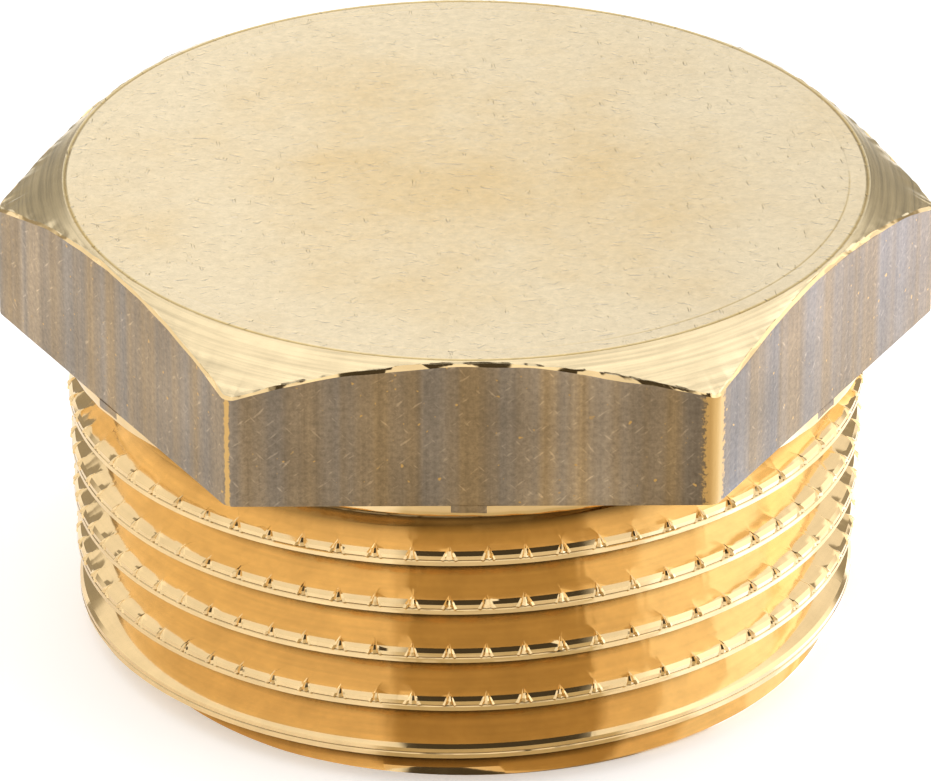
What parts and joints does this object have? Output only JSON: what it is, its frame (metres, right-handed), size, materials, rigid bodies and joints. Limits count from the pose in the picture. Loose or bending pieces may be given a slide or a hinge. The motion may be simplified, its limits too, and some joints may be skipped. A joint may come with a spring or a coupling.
{
  "type": "hex pipe plug",
  "caption": "Brass pipe plug with a hexagon head, a low collar and a notched taper pipe thread, hollow from the thread end, to close a threaded port.",
  "frame": {"origin": "middle of the plane of the thread end, on the thread axis; the plug stands on that end", "axes": "+Z along the thread axis towards the hexagon head; one flat of the hexagon faces -Y and two of its edges lie on X"},
  "size_m": [0.031, 0.027, 0.0158],
  "materials": {
    "brass": "turned, with oxidised drawn-bar flats"
  },
  "bodies": {
    "root": {"plug_body": "brass"}
  },
  "joints": []
}
